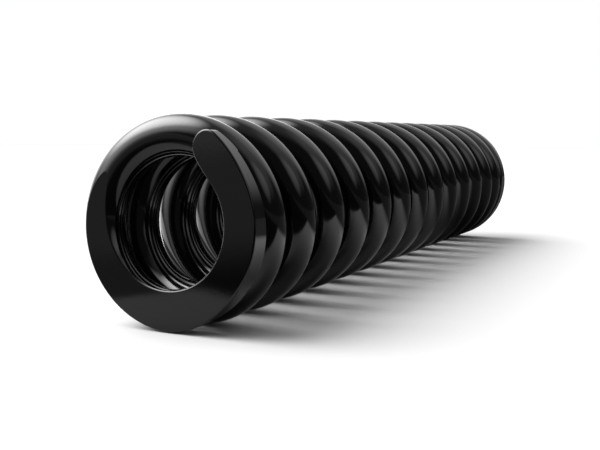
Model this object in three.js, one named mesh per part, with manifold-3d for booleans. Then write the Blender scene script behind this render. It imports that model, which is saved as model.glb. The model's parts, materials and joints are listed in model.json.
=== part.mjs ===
// A coilover suspension spring of round wire, right-hand wound, closed and ground at both ends.
// It lies on its side: the coil axis is X, the near end faces -X, and +Z is up.
// The wire is one continuous length. It is divided at the level of the axis, where one coil passes
// from its upper half to its lower half, so that the coils can slide towards each other.
// A point on the wire has a clock angle in degrees: 0 at the top, growing clockwise as seen from the
// near end, and growing on from turn to turn as the wire runs away from the near end.

import * as THREE from 'three';
import { mergeVertices } from 'three/addons/utils/BufferGeometryUtils.js';
import Module from 'manifold-3d';

// Driving dimensions, in millimetres, degrees and turns.
const BORE = 63.5;
const WIRE = 20.6;
const FREE_LENGTH = 457.2;
const TURNS = 14.5;
const NEAR_TIP_CLOCK = 22;

// The end coils lie almost against their neighbours, then the pitch opens smoothly.
const CLOSED_PITCH = WIRE + 0.4;
const NEAR_CLOSED_TURNS = 0.38;
const NEAR_OPENING_TURNS = 1.9;
const FAR_CLOSED_TURNS = 1.1;
const FAR_OPENING_TURNS = 1.45;

// The wire's ends are ground flat, down to a thin tip with a rounded nose. Each side of the nose is
// a quarter of a superellipse: its length in degrees along the coil, and its power.
const TIP_THICKNESS = 3.9;
const NOSE_HALF_WIDTH = 1;
const NOSE_INNER = { degrees: 28, power: 2 };
const NOSE_OUTER = { degrees: 11, power: 2 };
const NOSE_STEPS = 6;

// Each end of the bar is forged to a squarer section. Its corners are tight, and its back is filled
// out into the hollow beside the next coil, past the front of that coil by FORGED_FILL. The near
// end's outer side is pressed in too. Each of the ranges below is in degrees behind the tip, over
// which a change comes or goes.
const FORGED_CORNER = 1.5;
const FORGED_FILL = 2.7;
const FILL_COMES = [0, 24];
const FORGED_PRESS = 3.6;
const PRESS_COMES = [-12, 42];
const PRESS_GOES = [108, 165];
const SQUARE_GOES = [100, 165];
const BACK_CLEARANCE = 0.35;

// Facets. An odd number of steps puts a flat facet under each lower half, to stand on.
const SECTION_SIDES = 12;
const STEPS_PER_HALF = 11;
const CUT_GAP = 0.3;

// Lengths that follow from the driving dimensions.
const WIRE_RADIUS = WIRE / 2;
const MEAN_RADIUS = (BORE + WIRE) / 2;
const GROUND_DEPTH = WIRE_RADIUS - TIP_THICKNESS;
const HALF_LENGTH = FREE_LENGTH / 2;
const FAR_TIP_CLOCK = NEAR_TIP_CLOCK + 360 * TURNS;
const FAR_OPENING_START = TURNS - FAR_CLOSED_TURNS - FAR_OPENING_TURNS;
const STEP_DEGREES = 180 / STEPS_PER_HALF;
const WINDING_LENGTH = FREE_LENGTH + 2 * GROUND_DEPTH;

// How many turns' worth of extra pitch a smooth opening has let in by a given turn.
function openedTurns(turn, start, length) {
  const part = THREE.MathUtils.clamp((turn - start) / length, 0, 1);
  const whileOpening = length * (part ** 3 - part ** 4 / 2);
  return whileOpening + Math.max(0, turn - start - length);
}

function extraPitchTurns(turn) {
  const opened = openedTurns(turn, NEAR_CLOSED_TURNS, NEAR_OPENING_TURNS);
  return opened - openedTurns(turn, FAR_OPENING_START, FAR_OPENING_TURNS);
}

const OPEN_PITCH = CLOSED_PITCH + (WINDING_LENGTH - CLOSED_PITCH * TURNS) / extraPitchTurns(TURNS);

// The wire centre's place along X, at a clock angle.
function alongAxis(clock) {
  const turn = (clock - NEAR_TIP_CLOCK) / 360;
  const wound = CLOSED_PITCH * turn + (OPEN_PITCH - CLOSED_PITCH) * extraPitchTurns(turn);
  return wound - GROUND_DEPTH - HALF_LENGTH;
}

// A polygon around the wire, with its flats on the wire's surface.
function sectionShape() {
  const corner = WIRE_RADIUS / Math.cos(Math.PI / SECTION_SIDES);
  const shape = new THREE.Shape();
  for (let side = 0; side < SECTION_SIDES; side += 1) {
    const angle = ((side + 0.5) * 2 * Math.PI) / SECTION_SIDES;
    const point = [corner * Math.cos(angle), corner * Math.sin(angle)];
    if (side === 0) shape.moveTo(...point);
    else shape.lineTo(...point);
  }
  shape.closePath();
  return shape;
}

// The rounded rectangle that the wire's section fills at a clock angle: a circle away from the ends.
function sectionFrame(clock) {
  const atNearEnd = clock - NEAR_TIP_CLOCK < FAR_TIP_CLOCK - clock;
  const behind = atNearEnd ? clock - NEAR_TIP_CLOCK : FAR_TIP_CLOCK - clock;
  const inward = atNearEnd ? 1 : -1;
  const square = 1 - THREE.MathUtils.smoothstep(behind, ...SQUARE_GOES);
  const pressed = THREE.MathUtils.smoothstep(behind, ...PRESS_COMES);
  const released = THREE.MathUtils.smoothstep(behind, ...PRESS_GOES);
  const press = atNearEnd ? FORGED_PRESS * pressed * (1 - released) : 0;
  const toNextCoil = Math.abs(alongAxis(clock + inward * 360) - alongAxis(clock));
  const filled = FORGED_FILL * THREE.MathUtils.smoothstep(behind, ...FILL_COMES);
  const fill = Math.max(0, toNextCoil - WIRE - BACK_CLEARANCE + filled) * square;
  return {
    outwards: -press / 2,
    along: inward * fill,
    halfWidth: WIRE_RADIUS - press / 2,
    corner: THREE.MathUtils.lerp(WIRE_RADIUS, FORGED_CORNER, square),
  };
}

// A length of wire from one clock angle to another. A straight bar is extruded and wrapped round the
// coil: its x becomes the distance from the wire's centre outwards, and its z the clock angle.
// Facets stand outside the round wire, so the flats keep the true bore and the true height.
// margin makes the wire thicker all round, to cut clearance with.
function wireArc(from, to, margin = 0) {
  const scale = 1 + margin / WIRE_RADIUS;
  const steps = Math.max(2, Math.round((to - from) / STEP_DEGREES));
  const bar = new THREE.ExtrudeGeometry(sectionShape(), { depth: 1, steps, bevelEnabled: false });
  const halfStep = THREE.MathUtils.degToRad((to - from) / steps / 2);
  const position = bar.attributes.position;
  for (let i = 0; i < position.count; i += 1) {
    const clock = THREE.MathUtils.lerp(from, to, position.getZ(i));
    const angle = THREE.MathUtils.degToRad(clock);
    const frame = sectionFrame(clock);
    const rounding = frame.corner / WIRE_RADIUS;
    const acrossX = Math.sign(position.getX(i)) * (frame.halfWidth - frame.corner);
    const acrossY = Math.sign(position.getY(i)) * (WIRE_RADIUS - frame.corner);
    const outwards = frame.outwards + acrossX + position.getX(i) * rounding * scale;
    const radius = (MEAN_RADIUS + outwards) / Math.cos(halfStep);
    const x = alongAxis(clock) + frame.along - acrossY - position.getY(i) * rounding * scale;
    position.setXYZ(i, x, -radius * Math.sin(angle), radius * Math.cos(angle));
  }
  return trimCuts(bar, from, to);
}

// Moves each cut end half a gap back from the level of the axis.
function trimCuts(geometry, from, to) {
  const middle = THREE.MathUtils.degToRad((from + to) / 2);
  const side = Math.sign(Math.cos(middle));
  const position = geometry.attributes.position;
  for (let i = 0; i < position.count; i += 1) {
    if (Math.abs(position.getZ(i)) < CUT_GAP / 2) position.setZ(i, (side * CUT_GAP) / 2);
  }
  return geometry;
}

// Radius of the nose's outline at a clock angle, some degrees behind the tip. side is -1 on the
// inner side of the coil and +1 on the outer side.
function noseRadius(clock, behind, nose, side) {
  const frame = sectionFrame(clock);
  const wireSide = frame.halfWidth + side * frame.outwards;
  const left = Math.max(0, 1 - behind / nose.degrees);
  const share = (1 - left ** nose.power) ** (1 / nose.power);
  return MEAN_RADIUS + side * THREE.MathUtils.lerp(NOSE_HALF_WIDTH, wireSide, share);
}

// The end coil's outline as seen along the axis: a rounded nose, then the rest of the tip's arc.
// direction is +1 where the wire runs on clockwise from the tip, and -1 where it runs up to it.
function noseShape(tipClock, direction) {
  const REACH = 130;
  const CLEAR = WIRE_RADIUS;
  const points = [];
  const addPoint = (behind, radius) => {
    const angle = THREE.MathUtils.degToRad(tipClock + direction * behind);
    points.push(new THREE.Vector2(-radius * Math.sin(angle), radius * Math.cos(angle)));
  };
  addPoint(REACH, MEAN_RADIUS - WIRE_RADIUS - CLEAR);
  addPoint(REACH / 2, MEAN_RADIUS - WIRE_RADIUS - CLEAR);
  addPoint(NOSE_INNER.degrees, MEAN_RADIUS - WIRE_RADIUS - CLEAR);
  const addNosePoint = (step, nose, side) => {
    const behind = nose.degrees * (1 - Math.cos((step / NOSE_STEPS) * (Math.PI / 2)));
    addPoint(behind, noseRadius(tipClock + direction * behind, behind, nose, side));
  };
  for (let step = NOSE_STEPS; step >= 0; step -= 1) addNosePoint(step, NOSE_INNER, -1);
  for (let step = 0; step <= NOSE_STEPS; step += 1) addNosePoint(step, NOSE_OUTER, 1);
  addPoint(NOSE_OUTER.degrees, 2 * MEAN_RADIUS);
  addPoint(REACH / 2, 2 * MEAN_RADIUS);
  addPoint(REACH, 2 * MEAN_RADIUS);
  return new THREE.Shape(points);
}

// A block along X with the nose's outline, to cut the tip with.
function noseBlock(tipClock, direction) {
  const block = new THREE.ExtrudeGeometry(noseShape(tipClock, direction), {
    depth: 2 * FREE_LENGTH,
    bevelEnabled: false,
  });
  const sideways = new THREE.Matrix4().makeBasis(
    new THREE.Vector3(0, 1, 0),
    new THREE.Vector3(0, 0, 1),
    new THREE.Vector3(1, 0, 0),
  );
  return block.applyMatrix4(sideways).translate(-FREE_LENGTH, 0, 0);
}

// A box beyond an end face, standing for what the grinder takes off. side is -1 near, +1 far.
function grinderBox(side) {
  const box = new THREE.BoxGeometry(FREE_LENGTH, 4 * MEAN_RADIUS, 4 * MEAN_RADIUS);
  return box.translate(side * (HALF_LENGTH + FREE_LENGTH / 2), 0, 0);
}

const wasm = await Module();
wasm.setup();

function toSolid(geometry) {
  const bare = geometry.clone();
  bare.deleteAttribute('normal');
  bare.deleteAttribute('uv');
  const merged = mergeVertices(bare, 1e-4);
  const vertProperties = new Float32Array(merged.attributes.position.array);
  const triVerts = new Uint32Array(merged.index.array);
  return new wasm.Manifold(new wasm.Mesh({ numProp: 3, vertProperties, triVerts }));
}

function toGeometry(solid) {
  const mesh = solid.getMesh();
  const geometry = new THREE.BufferGeometry();
  geometry.setAttribute('position', new THREE.BufferAttribute(mesh.vertProperties, 3));
  geometry.setIndex(new THREE.BufferAttribute(mesh.triVerts, 1));
  geometry.computeVertexNormals();
  return geometry;
}

const nearGrinder = toSolid(grinderBox(-1));
const farGrinder = toSolid(grinderBox(1));

// The wire is cut at every half turn, from the first time it passes the level of the axis.
const FIRST_CUT = 90;
const HALF_TURN = 180;
const ARC_COUNT = Math.ceil((FAR_TIP_CLOCK - FIRST_CUT) / HALF_TURN) + 1;
const LAST_ARC = ARC_COUNT - 1;

function arcName(index) {
  if (index === 0) return 'near_end_tip';
  if (index === 1) return 'near_end_lower';
  if (index === LAST_ARC - 1) return 'far_end_upper';
  if (index === LAST_ARC) return 'far_end_tip';
  const coil = String(Math.floor(index / 2)).padStart(2, '0');
  return `coil_${coil}_${index % 2 === 0 ? 'upper' : 'lower'}`;
}

function arcRange(index) {
  const from = index === 0 ? NEAR_TIP_CLOCK : FIRST_CUT + HALF_TURN * (index - 1);
  const to = index === LAST_ARC ? FAR_TIP_CLOCK : FIRST_CUT + HALF_TURN * index;
  return [from, to];
}

function arcSolid(index) {
  let solid = toSolid(wireArc(...arcRange(index))).subtract(nearGrinder).subtract(farGrinder);
  const atNearEnd = index < 2;
  if (atNearEnd || index > LAST_ARC - 2) {
    const nextCoil = arcRange(atNearEnd ? index + 2 : index - 2);
    solid = solid.subtract(toSolid(wireArc(...nextCoil, BACK_CLEARANCE)));
  }
  if (index === 0) solid = solid.intersect(toSolid(noseBlock(NEAR_TIP_CLOCK, 1)));
  if (index === LAST_ARC) solid = solid.intersect(toSolid(noseBlock(FAR_TIP_CLOCK, -1)));
  return solid;
}

function powderCoat() {
  return new THREE.MeshStandardMaterial({ color: 0x0b0b0c, roughness: 0.2, metalness: 0 });
}

const spring = new THREE.Group();
for (let index = 0; index < ARC_COUNT; index += 1) {
  const arc = new THREE.Mesh(toGeometry(arcSolid(index)), powderCoat());
  arc.name = arcName(index);
  spring.add(arc);
}

export default spring;
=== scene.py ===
"""A gloss black coilover spring lying on its side on a pale studio floor.

The visible wire is one fine, smooth loft along the same helix as the CAD half turns. It is divided at
the top and the bottom of each coil.

Lengths are metres. A clock angle is degrees along the wire, clockwise from the top as seen from the
near end. Behind means degrees along the wire from the nearer tip. A place in a section of the wire is
given as (out from the coil's axis, along it), from the wire's centre.
"""

import json
import math

import bpy
import numpy as np
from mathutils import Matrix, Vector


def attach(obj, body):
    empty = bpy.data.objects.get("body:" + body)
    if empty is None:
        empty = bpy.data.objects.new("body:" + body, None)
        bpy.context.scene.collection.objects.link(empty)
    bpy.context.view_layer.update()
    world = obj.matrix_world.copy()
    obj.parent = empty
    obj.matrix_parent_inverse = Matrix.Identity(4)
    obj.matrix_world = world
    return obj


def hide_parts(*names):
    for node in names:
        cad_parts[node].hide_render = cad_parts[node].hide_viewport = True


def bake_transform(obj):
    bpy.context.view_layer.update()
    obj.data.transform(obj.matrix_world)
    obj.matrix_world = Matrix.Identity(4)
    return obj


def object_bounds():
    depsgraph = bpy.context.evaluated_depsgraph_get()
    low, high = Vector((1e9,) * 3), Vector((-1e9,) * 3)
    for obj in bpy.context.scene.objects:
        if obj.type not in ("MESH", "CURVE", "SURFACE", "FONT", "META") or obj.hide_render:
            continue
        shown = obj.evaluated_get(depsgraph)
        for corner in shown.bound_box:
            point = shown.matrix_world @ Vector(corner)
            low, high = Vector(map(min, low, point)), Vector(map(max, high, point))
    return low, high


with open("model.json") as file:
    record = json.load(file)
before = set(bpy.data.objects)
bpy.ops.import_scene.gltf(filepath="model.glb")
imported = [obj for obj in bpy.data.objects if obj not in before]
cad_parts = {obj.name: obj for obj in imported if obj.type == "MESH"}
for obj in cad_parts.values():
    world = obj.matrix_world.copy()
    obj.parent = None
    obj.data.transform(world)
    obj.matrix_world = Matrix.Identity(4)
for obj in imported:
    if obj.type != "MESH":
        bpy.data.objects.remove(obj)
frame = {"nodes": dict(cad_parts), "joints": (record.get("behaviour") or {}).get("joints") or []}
cad_low, cad_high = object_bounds()

# ------------------------------------------------------------------ the spring's dimensions

WIRE_RADIUS = 0.0103
BORE_RADIUS = 0.03175
MEAN_RADIUS = BORE_RADIUS + WIRE_RADIUS
FREE_LENGTH = 0.4572
TURNS = 14.5
NEAR_TIP = 22.0
FAR_TIP = NEAR_TIP + 360 * TURNS
TIP_THICKNESS = 0.0039
GROUND_DEPTH = WIRE_RADIUS - TIP_THICKNESS  # wire's centre to ground plane, at the tip

# Turns over which each end is closed, and then over which it opens to the full pitch.
CLOSED_PITCH = 0.021
NEAR_CLOSED, NEAR_OPENING = 0.38, 1.9
FAR_CLOSED, FAR_OPENING = 1.1, 1.45
FAR_OPENING_START = TURNS - FAR_CLOSED - FAR_OPENING

# The nose narrows to the tip in one curve on each side: (degrees behind, power).
NOSE_HALF_WIDTH = 0.001
NOSE_INNER = (28.0, 2.0)
NOSE_OUTER = (11.0, 2.0)

# The forged ends. What comes and goes does so over a range of degrees behind.
FORGED_CORNER = 0.0015
SQUARE_GOES = (100, 165)
FORGED_FILL = 0.0027
FILL_COMES = (0, 24)
BACK_CLEARANCE = 0.00035
FORGED_PRESS = 0.0036
PRESS_COMES = (-12, 42)
PRESS_GOES = (108, 165)

# The rounded edge of the nose and of the ground face.
EDGE_RADIUS = 0.0009
EDGE_DEGREES = math.degrees(EDGE_RADIUS / MEAN_RADIUS)

# How finely the wire is divided. FINE is where the ground face narrows to nothing, in degrees behind.
SIDES = 80
ALONG_FLAT = 11
EDGE_RINGS = 6
NOSE_RINGS = 18
RING_DEGREES = 3.75
FINE_RING_DEGREES = 1.25
FINE = (235, 300)
MERGE_DISTANCE = 2e-6
ROUNDING_ERROR = 1e-9
SLOPE_STEP = 1e-3

# ------------------------------------------------------------------ the helix


def opened_turns(turn, start, length):
    """Turns' worth of extra pitch let in by a smooth opening."""
    part = np.clip((turn - start) / length, 0, 1)
    return length * (part**3 - part**4 / 2) + np.maximum(0, turn - start - length)


def extra_turns(turn):
    """Turns' worth of extra pitch between the near tip and a turn."""
    near = opened_turns(turn, NEAR_CLOSED, NEAR_OPENING)
    return near - opened_turns(turn, FAR_OPENING_START, FAR_OPENING)


EXTRA_PITCH = (FREE_LENGTH + 2 * GROUND_DEPTH - CLOSED_PITCH * TURNS) / extra_turns(TURNS)


def along_axis(clock):
    """The wire centre's x at a clock angle."""
    turn = (clock - NEAR_TIP) / 360
    wound = CLOSED_PITCH * turn + EXTRA_PITCH * extra_turns(turn)
    return wound - GROUND_DEPTH - FREE_LENGTH / 2


def nearer_end(clock):
    """Degrees behind the nearer tip, and the sign of the way from it into the spring."""
    from_near = clock - NEAR_TIP
    from_far = FAR_TIP - clock
    return (from_near, 1) if from_near < from_far else (from_far, -1)


def to_next_coil(clock, inward):
    """Distance along the axis to the wire one turn further into the spring."""
    return abs(along_axis(clock + inward * 360) - along_axis(clock))


# ------------------------------------------------------------------ sections of the wire

QUARTER = SIDES // 4
LEAN = 1e-6  # radians by which the two ends of a flat look towards their own corners


def directions():
    """Outward angles round a section, and how far along its flat each point is.

    A section can have four flats. The direction of a flat comes ALONG_FLAT times. Any other comes
    once and has None for its place along a flat.
    """
    angles, shares = [], []
    for side in range(1, SIDES + 1):
        flat = side % QUARTER == 0
        points = list(np.linspace(0, 1, ALONG_FLAT)) if flat else [None]
        angles += [side * 2 * math.pi / SIDES] * len(points)
        shares += points
    return np.array(angles), shares


ANGLES, SHARES = directions()
AROUND = len(ANGLES)
OUTWARD = np.round(np.stack([np.cos(ANGLES), np.sin(ANGLES)], axis=1), 12)
LEAN_BY = np.array([0 if share is None else LEAN * (1 if share > 0.5 else -1) for share in SHARES])
LEANING = np.stack([np.cos(ANGLES + LEAN_BY), np.sin(ANGLES + LEAN_BY)], axis=1)
FLAT_STARTS = [k for k in range(AROUND) if SHARES[k] == 0]


def smoothstep(value, start, stop):
    share = min(1.0, max(0.0, (value - start) / (stop - start)))
    return share * share * (3 - 2 * share)


def section_shape(clock):
    """Middle, half sizes and corner radius of the rounded rectangle that the section fills.

    It is a circle along the wire. Towards each end it turns squarer: the corners are tight, and the
    back is filled out into the hollow beside the next coil. The near end's outer side is pressed in.
    """
    behind, inward = nearer_end(clock)
    square = 1 - smoothstep(behind, *SQUARE_GOES)
    press = smoothstep(behind, *PRESS_COMES) * (1 - smoothstep(behind, *PRESS_GOES))
    press *= FORGED_PRESS if inward == 1 else 0.0
    hollow = to_next_coil(clock, inward) - 2 * WIRE_RADIUS - BACK_CLEARANCE
    fill = max(0.0, hollow + FORGED_FILL * smoothstep(behind, *FILL_COMES)) * square
    middle = np.array([-press / 2, inward * fill])
    half = np.array([WIRE_RADIUS - press / 2, WIRE_RADIUS])
    corner = WIRE_RADIUS + (FORGED_CORNER - WIRE_RADIUS) * square
    return middle, half, min(corner, half[0])


def core_section(shape, limits):
    """A rounded rectangle cut by straight lines, all of it EDGE_RADIUS deep: one point per direction.

    limits is {direction: reach} for the lines, with direction 0 out, 1 far, 2 in, 3 near.
    """
    middle, half, corner = shape
    straight = half - corner
    rounding = corner - EDGE_RADIUS
    points = middle + np.sign(LEANING) * straight + LEANING * rounding
    lines = []
    for direction, reach in limits.items():
        angle = direction * math.pi / 2
        normal = np.round([math.cos(angle), math.sin(angle)])
        if np.max(points @ normal) > reach - EDGE_RADIUS:
            lines.append((normal, reach - EDGE_RADIUS))
    if lines:
        cut = np.any([points @ normal > reach for normal, reach in lines], axis=0)
        corners = line_corners(lines, middle, straight, rounding)
        points[cut] = corners[np.argmax(LEANING[cut] @ corners.T, axis=1)]
    share = np.linspace(0, 1, ALONG_FLAT)[:, None]
    for first in FLAT_STARTS:
        last = first + ALONG_FLAT - 1
        points[first : last + 1] = points[first] * (1 - share) + points[last] * share
    return points


def line_corners(lines, middle, straight, rounding):
    """Where the lines meet the rounded rectangle and each other, on what is left of it."""
    corners = []
    for normal, reach in lines:
        side = np.abs(normal[::-1])
        past = max(0.0, abs(reach - middle @ normal) - straight @ np.abs(normal))
        across = straight @ side + math.sqrt(max(0.0, rounding**2 - past**2))
        for way in (-1, 1):
            corners.append(normal * reach + side * (middle @ side + way * across))
        corners += [normal * reach + other * far for other, far in lines if normal @ other == 0]

    def left(point):
        past = np.maximum(0, abs(point - middle) - straight)
        within = np.linalg.norm(past) <= rounding + ROUNDING_ERROR
        return within and all(normal @ point <= reach + ROUNDING_ERROR for normal, reach in lines)

    return np.array([point for point in corners if left(point)])


def clear_of_next_coil(clock, rho, x, facing):
    """Keeps a squarer end off the next coil: its back takes that coil's curve."""
    inward = nearer_end(clock)[1]
    centre = along_axis(clock)
    apart = to_next_coil(clock, inward)
    reach = WIRE_RADIUS + BACK_CLEARANCE + EDGE_RADIUS
    hollow = np.sqrt(np.maximum(0, reach**2 - rho**2))
    over = (abs(rho) < reach) & (inward * (x - centre) > apart - hollow)
    x[over] = centre + inward * (apart - hollow[over])
    facing[over, 0] = -rho[over] / reach
    facing[over, 1] = inward * hollow[over] / reach


def nose_reach(behind, nose, wire_side):
    """How far from the wire's centre one side of the nose is."""
    degrees, power = nose
    left = min(1.0, max(0.0, (degrees - behind) / (degrees - EDGE_DEGREES)))
    share = (1 - left**power) ** (1 / power)
    return NOSE_HALF_WIDTH + (wire_side - NOSE_HALF_WIDTH) * share


# ------------------------------------------------------------------ the whole wire


def ring_places():
    """(clock angle, phase) of every ring. The phase is 0 along the wire and rises to 1 at a tip."""
    behind = []
    for step in range(EDGE_RINGS):
        phase = 1 - step / EDGE_RINGS
        behind.append((EDGE_DEGREES * (1 - math.sin(phase * math.pi / 2)), phase))
    nose_end = NOSE_INNER[0]
    past_nose = nose_end + 1
    for step in range(NOSE_RINGS + 1):
        share = 1 - math.cos(step / NOSE_RINGS * math.pi / 2)
        behind.append((EDGE_DEGREES + (nose_end - EDGE_DEGREES) * share, 0.0))
    places = [(NEAR_TIP + degrees, phase) for degrees, phase in behind]
    clock = math.ceil((NEAR_TIP + past_nose) / RING_DEGREES) * RING_DEGREES
    while clock < FAR_TIP - past_nose:
        places.append((clock, 0.0))
        fine = FINE[0] < nearer_end(clock)[0] < FINE[1]
        clock += FINE_RING_DEGREES if fine else RING_DEGREES
    return places + [(FAR_TIP - degrees, phase) for degrees, phase in reversed(behind)]


def helix_stretch(clock):
    """How much longer a section is along the axis, as its plane cuts the wire aslant."""
    rise = along_axis(clock + SLOPE_STEP) - along_axis(clock - SLOPE_STEP)
    return np.sqrt(1 + (rise / math.radians(2 * SLOPE_STEP) / MEAN_RADIUS) ** 2)


def core_ring(clock, stretch):
    """A ring of the core: how far out it is, its x, and its outward directions in the section."""
    shape = section_shape(clock)
    behind = nearer_end(clock)[0]
    centre = along_axis(clock)
    core_end = FREE_LENGTH / 2 - EDGE_RADIUS
    limits = {
        3: (core_end + centre) / stretch + EDGE_RADIUS,
        1: (core_end - centre) / stretch + EDGE_RADIUS,
    }
    if behind < NOSE_INNER[0]:
        middle, half = shape[:2]
        limits[2] = nose_reach(behind, NOSE_INNER, WIRE_RADIUS)
        limits[0] = nose_reach(behind, NOSE_OUTER, half[0] + middle[0])
    points = core_section(shape, limits)
    rho = points[:, 0]
    x = centre + points[:, 1] * stretch
    facing = OUTWARD.copy()
    if behind < SQUARE_GOES[1]:
        clear_of_next_coil(clock, rho, x, facing)
    return rho, x, facing


def build_wire():
    """Positions and normals, (ring, place round the wire, xyz), and each ring's clock and way on.

    The surface is everywhere EDGE_RADIUS outside the core, so its edges are round.
    """
    clocks, phases = np.array(ring_places()).T
    core_clocks = np.clip(clocks, NEAR_TIP + EDGE_DEGREES, FAR_TIP - EDGE_DEGREES)
    stretch = helix_stretch(core_clocks)
    rings = [core_ring(*ring) for ring in zip(core_clocks, stretch)]
    rho, x, facing = (np.array(part) for part in zip(*rings))

    angle = np.radians(core_clocks)[:, None]
    radius = MEAN_RADIUS + rho
    outward = np.stack([0 * angle, -np.sin(angle), np.cos(angle)], axis=2)
    onward = np.stack([0 * angle, -np.cos(angle), -np.sin(angle)], axis=2)
    axis = np.array([1.0, 0.0, 0.0])
    position = x[:, :, None] * axis + radius[:, :, None] * outward

    # Exact normals: the section's own, leaned back by how fast the surface moves out along the wire.
    normal_rho = facing[:, :, 0]
    normal_x = facing[:, :, 1] / stretch[:, None]
    size = np.sqrt(normal_rho**2 + normal_x**2)
    normal_rho, normal_x = normal_rho / size, normal_x / size
    first, last = EDGE_RINGS, len(clocks) - 1 - EDGE_RINGS
    along = np.clip(np.arange(len(clocks)), first, last)
    before = np.maximum(along - 1, first)
    after = np.minimum(along + 1, last)
    span = np.radians(core_clocks[after] - core_clocks[before])[:, None]
    moving = normal_rho * (rho[after] - rho[before]) + normal_x * (x[after] - x[before])
    lean = moving / span / radius
    side = normal_rho[:, :, None] * outward + normal_x[:, :, None] * axis - lean[:, :, None] * onward
    side /= np.linalg.norm(side, axis=2, keepdims=True)

    # Over the edge of a tip, the normals turn from the side to the way out of the wire's end.
    turn = (phases * math.pi / 2)[:, None, None]
    end = np.where(clocks < (NEAR_TIP + FAR_TIP) / 2, -1.0, 1.0)[:, None, None]
    normal = np.cos(turn) * side + np.sin(turn) * end * onward
    normal /= np.linalg.norm(normal, axis=2, keepdims=True)
    return position + EDGE_RADIUS * normal, normal, clocks, onward[:, 0, :]


POSITION, NORMAL, CLOCKS, ONWARD = build_wire()


def wire_mesh(name, start, stop):
    """A closed mesh of the wire between two clock angles, with its exact normals."""
    first = int(np.argmin(abs(CLOCKS - start)))
    last = int(np.argmin(abs(CLOCKS - stop)))
    rings = last - first + 1
    position = POSITION[first : last + 1]

    # The points of a flat are one vertex wherever the flat has no length.
    index = np.arange(rings * AROUND).reshape(rings, AROUND)
    for k in range(AROUND):
        following = (k + 1) % AROUND
        if ANGLES[k] == ANGLES[following]:
            gap = np.linalg.norm(position[:, k] - position[:, following], axis=1)
            index[:, following] = np.where(gap < MERGE_DISTANCE, index[:, k], index[:, following])

    used, compact = np.unique(index, return_inverse=True)
    index = compact.reshape(rings, AROUND)
    vertices = position.reshape(-1, 3)[used]
    vertex_normals = NORMAL[first : last + 1].reshape(-1, 3)[used]

    faces, loop_normals = [], []

    def add_face(corners, normal=None):
        corners = [int(c) for n, c in enumerate(corners) if c != corners[n - 1]]
        if len(corners) > 2:
            faces.append(corners)
            loop_normals.extend(vertex_normals[c] if normal is None else normal for c in corners)

    for i in range(rings - 1):
        for k in range(AROUND):
            following = (k + 1) % AROUND
            add_face([index[i, k], index[i + 1, k], index[i + 1, following], index[i, following]])
    add_face(list(index[0]), -ONWARD[first])
    add_face(list(index[-1][::-1]), ONWARD[last])

    mesh = bpy.data.meshes.new(name)
    mesh.from_pydata(vertices.tolist(), [], faces)
    mesh.validate()
    mesh.shade_smooth()
    mesh.normals_split_custom_set([tuple(normal) for normal in loop_normals])
    mesh.update()
    return mesh


# ------------------------------------------------------------------ shader nodes


def map_range(tree, value, source, target=(0, 1), kind="SMOOTHSTEP"):
    """Goes from one target to the other as value goes from one source to the other."""
    node = tree.nodes.new("ShaderNodeMapRange")
    node.interpolation_type = kind
    names = ("From Min", "From Max", "To Min", "To Max")
    for name, number in zip(names, (*source, *target)):
        node.inputs[name].default_value = number
    tree.links.new(value, node.inputs["Value"])
    return node.outputs["Result"]


def along_direction(tree, vector, direction):
    """How far a vector reaches along a fixed direction."""
    node = tree.nodes.new("ShaderNodeVectorMath")
    node.operation = "DOT_PRODUCT"
    tree.links.new(vector, node.inputs[0])
    node.inputs[1].default_value = direction
    return node.outputs["Value"]


# ------------------------------------------------------------------ the black coat

COAT_COLOUR = (0.0012, 0.0012, 0.0013, 1)
COAT_IOR = 1.52
COAT_ROUGHNESS = (0.06, 0.12)
CLOUDS = {"Scale": 35, "Detail": 3, "Roughness": 0.5}
CLOUD_LEVELS = (0.3, 0.7)
ORANGE_PEEL = {"Scale": 420, "Detail": 2, "Roughness": 0.4}
PEEL_BUMP = {"Strength": 0.02, "Distance": 0.0004}


def black_coat():
    """Gloss black powder coat: near-black, wet-looking, with a faint orange peel and uneven gloss."""
    material = bpy.data.materials.new("black_coat")
    material.use_nodes = True
    tree = material.node_tree
    shader = tree.nodes["Principled BSDF"]
    shader.inputs["IOR"].default_value = COAT_IOR
    shader.inputs["Base Color"].default_value = COAT_COLOUR
    place = tree.nodes.new("ShaderNodeTexCoord").outputs["Object"]

    def noise(settings):
        node = tree.nodes.new("ShaderNodeTexNoise")
        for name, number in settings.items():
            node.inputs[name].default_value = number
        tree.links.new(place, node.inputs["Vector"])
        return node.outputs["Fac"]

    rough = map_range(tree, noise(CLOUDS), CLOUD_LEVELS, COAT_ROUGHNESS, kind="LINEAR")
    tree.links.new(rough, shader.inputs["Roughness"])

    bump = tree.nodes.new("ShaderNodeBump")
    for name, number in PEEL_BUMP.items():
        bump.inputs[name].default_value = number
    tree.links.new(noise(ORANGE_PEEL), bump.inputs["Height"])
    tree.links.new(bump.outputs["Normal"], shader.inputs["Normal"])
    return material


COAT = black_coat()

# ------------------------------------------------------------------ pieces of the wire, the two ends on their bodies

# Each length runs from the middle of one half turn to the middle of the next, over the joint between
# them. The first one starts in the middle of the near end's last half turn.
HALF_TURN = 180
FIRST_BEND = 3 * HALF_TURN


def wire_piece(name, start, stop):
    mesh = wire_mesh(name, start, stop)
    mesh.materials.append(COAT)
    piece = bpy.data.objects.new(name, mesh)
    bpy.context.scene.collection.objects.link(piece)
    return piece


near = wire_piece("wire_near_end", NEAR_TIP, FIRST_BEND)
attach(near, "near_end")
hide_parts(*frame["nodes"])

bend = FIRST_BEND
for number, joint in enumerate(frame["joints"], start=1):
    piece = wire_piece(f"wire_{number:02d}", bend, bend + HALF_TURN)
    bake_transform(piece)
    bend += HALF_TURN

far = wire_piece("wire_far_end", bend, FAR_TIP)
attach(far, "far_end")
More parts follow.
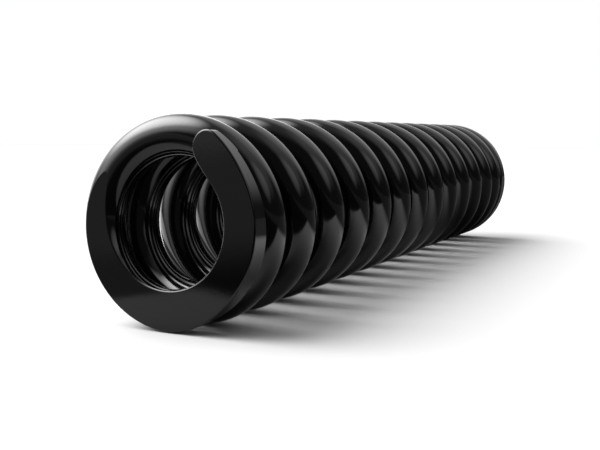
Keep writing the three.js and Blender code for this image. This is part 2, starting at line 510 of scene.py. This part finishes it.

# ------------------------------------------------------------------ the floor

# The camera sees a plain pale floor. In reflections the floor's colour is painted light and shade: a
# sheet of paper in the painted shade of a dark room, laid square to SHEET_AZIMUTH. Its edges are
# metres ahead along that azimuth and metres to the right of it, from the middle of the spring, and
# each is a range over which one brightness turns into the other. The sheet is painted greyer to its
# left and lighter to its right. The right edge runs SHEET_RIGHT_SLANT further left for each metre
# ahead. Beside the sheet the room is painted shade but for a painted pool of light on the left. Before
# the sheet it is painted darker, and rises a little to each side.
FLOOR_HALF_WIDTH = 6.0
FLOOR_ROUGHNESS = 0.5
FLOOR_SEEN = 0.5
SHEET_AZIMUTH = 27
SHEET_FRONT = (-0.285, -0.265)
SHEET_LEFT = (-0.21, -0.19)
SHEET_RIGHT = (0.15, 0.05)
SHEET_RIGHT_SLANT = 0.4
# Painted shade and painted light on the sheet: its colour is greyer to the left and lighter to the
# right.
SHEET_PAINTED_SHADE, SHEET_PAINTED_LIGHT = 0.27, 0.49
SHEET_PAINTED_LIGHTER = (-0.04, 0.08)
# Painted shade of a dark room beside the sheet, and a painted pool of light on its left.
BESIDE_PAINTED_SHADE, BESIDE_PAINTED_LIGHT = 0.06, 0.9
PAINTED_LIGHT_LEFT = (-0.27, -0.33)
PAINTED_LIGHT_FRONT = (-0.235, -0.2)
# Painted shade before the sheet, painted a little lighter to each side.
BEFORE_PAINTED_SHADE, BEFORE_RIGHT, BEFORE_LEFT = 0.012, 0.06, 0.1
RISES_RIGHT = (0.22, 0.35)
RISES_LEFT = (-0.2, -0.45)


def pale_floor_with_painted_light():
    material = bpy.data.materials.new("floor_white_with_painted_light")
    material.use_nodes = True
    tree = material.node_tree
    shader = tree.nodes["Principled BSDF"]
    shader.inputs["Roughness"].default_value = FLOOR_ROUGHNESS
    shader.inputs["Specular IOR Level"].default_value = 0

    place = tree.nodes.new("ShaderNodeTexCoord").outputs["Object"]
    turn = math.radians(SHEET_AZIMUTH)
    forward = np.array([math.cos(turn), math.sin(turn), 0])
    rightward = np.array([math.sin(turn), -math.cos(turn), 0])
    ahead = along_direction(tree, place, forward)
    right = along_direction(tree, place, rightward)
    slanted = along_direction(tree, place, rightward + SHEET_RIGHT_SLANT * forward)

    def mix(factor, low, high):
        node = tree.nodes.new("ShaderNodeMix")
        tree.links.new(factor, node.inputs["Factor"])
        for name, value in (("A", low), ("B", high)):
            if isinstance(value, float):
                node.inputs[name].default_value = value
            else:
                tree.links.new(value, node.inputs[name])
        return node.outputs["Result"]

    # Painted shade and light on the sheet: greyer to the left, lighter to the right.
    sheet_painted_light = mix(map_range(tree, right, SHEET_PAINTED_LIGHTER), SHEET_PAINTED_SHADE, SHEET_PAINTED_LIGHT)
    sheet_painted_light = mix(map_range(tree, slanted, SHEET_RIGHT), BESIDE_PAINTED_SHADE, sheet_painted_light)
    # Beside the sheet: painted shade, with a painted pool of light on the left.
    beside_light_and_shade = mix(map_range(tree, right, PAINTED_LIGHT_LEFT), BESIDE_PAINTED_SHADE, BESIDE_PAINTED_LIGHT)
    beside_light_and_shade = mix(map_range(tree, ahead, PAINTED_LIGHT_FRONT), BESIDE_PAINTED_SHADE, beside_light_and_shade)
    sheet_painted_light = mix(map_range(tree, right, SHEET_LEFT), beside_light_and_shade, sheet_painted_light)
    # Before the sheet: painted shade, a little lighter to each side.
    before = mix(map_range(tree, right, RISES_RIGHT), BEFORE_PAINTED_SHADE, BEFORE_RIGHT)
    before = mix(map_range(tree, right, RISES_LEFT), before, BEFORE_LEFT)
    reflected_light_and_shade = mix(map_range(tree, ahead, SHEET_FRONT), before, sheet_painted_light)
    # Reflections see the painted light and shade; the camera sees the plain pale floor.
    seen = tree.nodes.new("ShaderNodeLightPath").outputs["Is Camera Ray"]
    tree.links.new(mix(seen, reflected_light_and_shade, FLOOR_SEEN), shader.inputs["Base Color"])
    return material


floor_mesh = bpy.data.meshes.new("floor")
floor_corners = [(-1, -1), (1, -1), (1, 1), (-1, 1)]
floor_mesh.from_pydata(
    [(x * FLOOR_HALF_WIDTH, y * FLOOR_HALF_WIDTH, 0) for x, y in floor_corners],
    [],
    [(0, 1, 2, 3)],
)
floor = bpy.data.objects.new("floor", floor_mesh)
floor.location.z = cad_low.z
floor_mesh.materials.append(pale_floor_with_painted_light())
bpy.context.scene.collection.objects.link(floor)

# ------------------------------------------------------------------ light

# Soft lights, as smooth patches on the sky: azimuth from +X towards +Y and elevation in degrees,
# degrees from the middle at which the patch is full and at which it ends, and brightness.
SOFT_LIGHTS = {
    "key": (104, 52, 0, 37, 8.5),
    "key_side": (124, 38, 0, 42, 3.6),
    "backdrop": (59, 17, 2, 41, 2.8),
    "behind": (27, 4, 8, 22, 1.3),
    "behind_high": (-4, 42, 2, 42, 0.95),
    "right": (-80, 48, 0, 38, 0.5),
    "window": (-105, 28, 0, 22, 0.75),
    "overhead": (0, 90, 0, 49, 0.3),
    "horizon": (146, 0, 0, 14, 0.4),
}
DARK_ROOM = 0.06


def studio_world():
    """White behind the object, and for all else a dark room with soft patches of light."""
    world = bpy.data.worlds.new("studio")
    world.use_nodes = True
    tree = world.node_tree
    nodes, links = tree.nodes, tree.links
    direction = nodes.new("ShaderNodeTexCoord").outputs["Generated"]
    total = nodes.new("ShaderNodeValue").outputs["Value"]
    total.default_value = DARK_ROOM
    for azimuth, elevation, full, end, brightness in SOFT_LIGHTS.values():
        across, upward = math.radians(azimuth), math.radians(elevation)
        level = math.cos(upward)
        middle = (level * math.cos(across), level * math.sin(across), math.sin(upward))
        edge = (math.cos(math.radians(end)), math.cos(math.radians(full)))
        towards = along_direction(tree, direction, middle)
        add = nodes.new("ShaderNodeMath")
        links.new(total, add.inputs[0])
        links.new(map_range(tree, towards, edge, (0, brightness)), add.inputs[1])
        total = add.outputs["Value"]

    lit = nodes["Background"]
    links.new(total, lit.inputs["Strength"])
    lit.inputs["Color"].default_value = (1, 1, 1, 1)
    white = nodes.new("ShaderNodeBackground")
    white.inputs["Color"].default_value = (1, 1, 1, 1)
    mix = nodes.new("ShaderNodeMixShader")
    seen = nodes.new("ShaderNodeLightPath").outputs["Is Camera Ray"]
    links.new(seen, mix.inputs["Fac"])
    links.new(lit.outputs["Background"], mix.inputs[1])
    links.new(white.outputs["Background"], mix.inputs[2])
    links.new(mix.outputs["Shader"], nodes["World Output"].inputs["Surface"])
    return world


bpy.context.scene.world = studio_world()

# ------------------------------------------------------------------ camera

# From the middle of the near end's face, in mean radii of the spring, then degrees.
CAMERA_BACK, CAMERA_RIGHT, CAMERA_UP = 7.597, 5.549, 0.970
CAMERA_DOWN, CAMERA_AZIMUTH = 6.02, -63.07
LENS_MM, SENSOR_MM = 50, 36
NEAREST_SEEN = 0.01

camera_data = bpy.data.cameras.new("camera")
camera_data.lens = LENS_MM
camera_data.sensor_width = SENSOR_MM
camera_data.clip_start = NEAREST_SEEN
camera = bpy.data.objects.new("camera", camera_data)
camera.location = (
    -FREE_LENGTH / 2 - CAMERA_BACK * MEAN_RADIUS,
    -CAMERA_RIGHT * MEAN_RADIUS,
    CAMERA_UP * MEAN_RADIUS,
)
camera.rotation_euler = (math.radians(90 - CAMERA_DOWN), 0, math.radians(CAMERA_AZIMUTH))
bpy.context.scene.collection.objects.link(camera)
bpy.context.scene.camera = camera
bpy.context.scene.view_settings.view_transform = "Standard"
